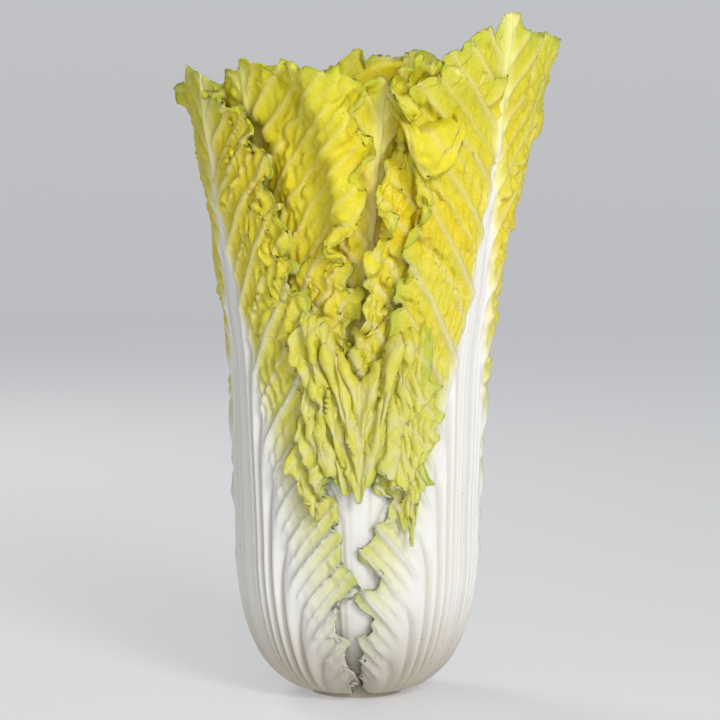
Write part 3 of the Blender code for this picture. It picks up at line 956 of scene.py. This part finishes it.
within = {"grid": LARGE, "steps": LARGE_STEPS, "stalk_run": 0.23, "room": 0.0060, "growth": 0.24}
second_right = {
    "name": "second_leaf_right", "seed": 71,
    "stalk": 0.0062, "stalk_half": 56, "stalk_run": 0.21,
    "midrib": [(0.0, 38), (0.15, 38), (0.3, 30)],
    "left": [(0.0, -18), (0.12, -12), (0.16, -3), (0.2, 4), (0.235, 1), (0.262, 5), (0.275, 9), (0.30, 4),
             (0.33, 9)],
    "right": [(0.0, 94), (0.15, 90), (0.33, 72)],
    "top": [(-1, 0.300), (-0.8, 0.316), (-0.5, 0.314), (-0.1, 0.310), (0.4, 0.308), (1, 0.285)],
    "top_torn": 0.003, "left_torn": torn_side,
    "growth": 0.26, "ruffle": 0.30, "room": 0.0050, "swell": 0.008,
    "folds": [("left", 0.232, 0.256, 0.013, 160, 0.004), ("left", 0.286, 0.306, 0.014, 160, 0.004)],
}
second_left = {
    "name": "second_leaf_left", "seed": 97,
    "stalk": 0.0060, "stalk_half": 56, "stalk_run": 0.20,
    "midrib": [(0.0, -38), (0.15, -42), (0.25, -48), (0.32, -44)],
    "left": [(0.0, -94), (0.15, -94), (0.33, -84)],
    "right": [(0.0, 18), (0.12, 8), (0.18, -3), (0.215, -1), (0.23, 3), (0.25, 3), (0.268, 3), (0.288, 6),
              (0.305, 5), (0.33, -6)],
    "top": [(-1, 0.280), (-0.6, 0.300), (-0.2, 0.308), (0.1, 0.314), (0.5, 0.314), (0.8, 0.308),
            (1, 0.295)],
    "top_torn": 0.003, "right_torn": torn_side,
    "growth": 0.28, "ruffle": 0.30, "room": 0.0050, "swell": 0.008,
    "folds": [("right", 0.284, 0.304, 0.019, 165, 0.004), ("right", 0.256, 0.276, 0.014, 165, 0.004),
              ("right", 0.222, 0.246, 0.018, 160, 0.004), ("tip", -0.6, -0.2, 0.012, 50, 0.005)],
}
third_front = {
    "name": "third_leaf_front", "seed": 127,
    "stalk": 0.0052, "stalk_half": 60, "stalk_run": 0.17,
    "midrib": [(0.0, 4), (0.2, 6), (0.26, 6), (0.32, 8)],
    "left": [(0.0, -56), (0.15, -58), (0.33, -46)],
    "right": [(0.0, 64), (0.15, 58), (0.33, 44)],
    "top": [(-1, 0.28), (-0.5, 0.302), (-0.15, 0.308), (0.3, 0.308), (0.7, 0.308), (1, 0.29)],
    "top_torn": 0.003,
    "growth": 0.28, "ruffle": 0.30, "room": 0.0040, "swell": 0.014,
    "folds": [("tip", 0.12, 0.62, 0.028, 165, 0.004), ("tip", -0.55, -0.05, 0.008, 70, 0.004)],
}
middle_finish = leaf_finish(
    "middle_leaf", stalk=(0.84, 0.80, 0.66, 1.0), young=(0.92, 0.86, 0.08, 1.0),
    blade=(0.97, 0.84, 0.022, 1.0), deep=(0.97, 0.77, 0.006, 1.0), vein=(0.94, 0.84, 0.24, 1.0),
    green=(0.48, 0.60, 0.05, 1.0))
for leaf in (
    second_right, plain_leaf("second_leaf_back", 168, 62, 72, 0.316, 0.0062, 83, **within),
    second_left, plain_leaf("third_leaf_right", 88, 60, 72, 0.305, 0.0056, 101, **within),
    plain_leaf("third_leaf_back", -138, 62, 76, 0.308, 0.0054, 113, **within), third_front,
):
    set_leaf(leaf, middle_finish)

# ---- The inner leaves and the heart ----
# Eleven tender leaves nested round one another, each shorter and paler than the last. They are seen
# from above, between the tips of the others.

heart_finish = leaf_finish(
    "heart_leaf", stalk=(0.82, 0.77, 0.50, 1.0), young=(0.94, 0.84, 0.07, 1.0),
    blade=(0.97, 0.80, 0.015, 1.0), deep=(0.96, 0.74, 0.005, 1.0), vein=(0.92, 0.80, 0.22, 1.0),
    green=(0.62, 0.62, 0.05, 1.0), glowing=0.28)
NESTED = [
    ("inner_leaf_01", 132, 64, 80, 0.304, 0.0048), ("inner_leaf_02", -84, 66, 82, 0.300, 0.0046),
    ("inner_leaf_03", 54, 68, 84, 0.312, 0.0044), ("inner_leaf_04", -168, 70, 86, 0.302, 0.0042),
    ("inner_leaf_05", -28, 72, 88, 0.304, 0.0040), ("inner_leaf_06", 108, 76, 90, 0.290, 0.0038),
    ("inner_leaf_07", -114, 80, 92, 0.284, 0.0036), ("heart_leaf_01", 24, 86, 96, 0.276, 0.0032),
    ("heart_leaf_02", 160, 90, 100, 0.262, 0.0030), ("heart_leaf_03", -62, 95, 105, 0.240, 0.0028),
    ("heart_leaf_04", 76, 105, 110, 0.205, 0.0026),
]
for k, spec in enumerate(NESTED):
    set_leaf(plain_leaf(*spec, 200 + 13 * k), heart_finish)

# ---- The stem ----
# The short pale core that the leaves spring from, cut flat. Its own solid is right, and takes a
# finish here.

STEM_FLESH = (0.62, 0.56, 0.42, 1.0)
stem_finish = leaf_finish("stem_flesh", stalk=STEM_FLESH, young=STEM_FLESH, blade=STEM_FLESH, deep=STEM_FLESH,
                          vein=STEM_FLESH, green=STEM_FLESH)
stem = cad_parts["stem_core"]
stem.data.materials.clear()
stem.data.materials.append(stem_finish)

# ---- The stage ----
# A pale round floor that curves up far out, soft lights, and a long lens a little above the middle
# of the head.

FLOOR_RADIUS = 2.4
FLOOR_CURVE = 0.8
FLOOR_SEGMENTS = 96


def studio_floor():
    angles = np.linspace(0.0, math.pi / 2, 14)
    profile = [(0.3, 0.0), (1.2, 0.0)]
    profile += [(FLOOR_RADIUS + FLOOR_CURVE * math.sin(a), FLOOR_CURVE * (1.0 - math.cos(a))) for a in angles]
    around = FLOOR_SEGMENTS
    turns = [2 * math.pi * k / around for k in range(around)]
    points = [(0.0, 0.0, 0.0)]
    points += [(r * math.cos(t), r * math.sin(t), z) for r, z in profile for t in turns]
    faces = [(0, 1 + k, 1 + (k + 1) % around) for k in range(around)]
    for ring in range(len(profile) - 1):
        low, high = 1 + ring * around, 1 + (ring + 1) * around
        faces += [(low + k, high + k, high + (k + 1) % around, low + (k + 1) % around)
                  for k in range(around)]
    mesh = bpy.data.meshes.new("floor")
    mesh.from_pydata(points, [], faces)
    mesh.shade_smooth()
    material = bpy.data.materials.new("pale_floor")
    material.use_nodes = True
    shader = material.node_tree.nodes["Principled BSDF"]
    shader.inputs["Base Color"].default_value = (0.56, 0.555, 0.545, 1.0)
    shader.inputs["Roughness"].default_value = 0.8
    shader.inputs["Emission Color"].default_value = (0.95, 0.96, 1.0, 1.0)
    shader.inputs["Emission Strength"].default_value = 0.31
    mesh.materials.append(material)
    floor = in_scene("floor", mesh)


def area_light(name, place, aim, size, watts, color):
    lamp = bpy.data.lights.new(name, "AREA")
    lamp.shape, lamp.size, lamp.size_y = "RECTANGLE", size, size
    lamp.energy, lamp.color = watts, color
    holder = in_scene(name, lamp)
    holder.location = place
    holder.rotation_euler = (Vector(aim) - Vector(place)).to_track_quat("-Z", "Y").to_euler()


studio_floor()
area_light("key", (0.62, -1.18, 0.80), (0.0, 0.0, 0.18), size=0.40, watts=9.8, color=(1.0, 0.985, 0.96))
area_light("fill", (0.30, -1.6, 0.45), (0.0, 0.0, 0.20), size=0.9, watts=6.2, color=(0.97, 0.985, 1.0))
area_light("rim", (-0.7, 0.9, 0.9), (0.0, 0.0, 0.2), size=0.5, watts=5.0, color=(1.0, 0.99, 0.97))
world = bpy.data.worlds.new("studio")
bpy.context.scene.world = world
world.use_nodes = True
sky = world.node_tree.nodes["Background"].inputs
sky["Color"].default_value = (0.9, 0.95, 1.0, 1.0)
sky["Strength"].default_value = 0.30
bpy.context.scene.view_settings.view_transform = "Standard"

CAMERA_DISTANCE = 1.5
CAMERA_RISE = math.radians(6.0)
FRAME_WIDTH = 0.3585   # so much shows across the frame at the head
aim = Vector((0.0015, 0.0, 0.1665))
camera = in_scene("camera", bpy.data.cameras.new("camera"))
camera.data.lens = camera.data.sensor_width * CAMERA_DISTANCE / FRAME_WIDTH
outwards = Vector((0.0, -math.cos(CAMERA_RISE), math.sin(CAMERA_RISE)))
camera.location = aim + outwards * CAMERA_DISTANCE
camera.rotation_euler = (aim - camera.location).to_track_quat("-Z", "Y").to_euler()
bpy.context.scene.camera = camera
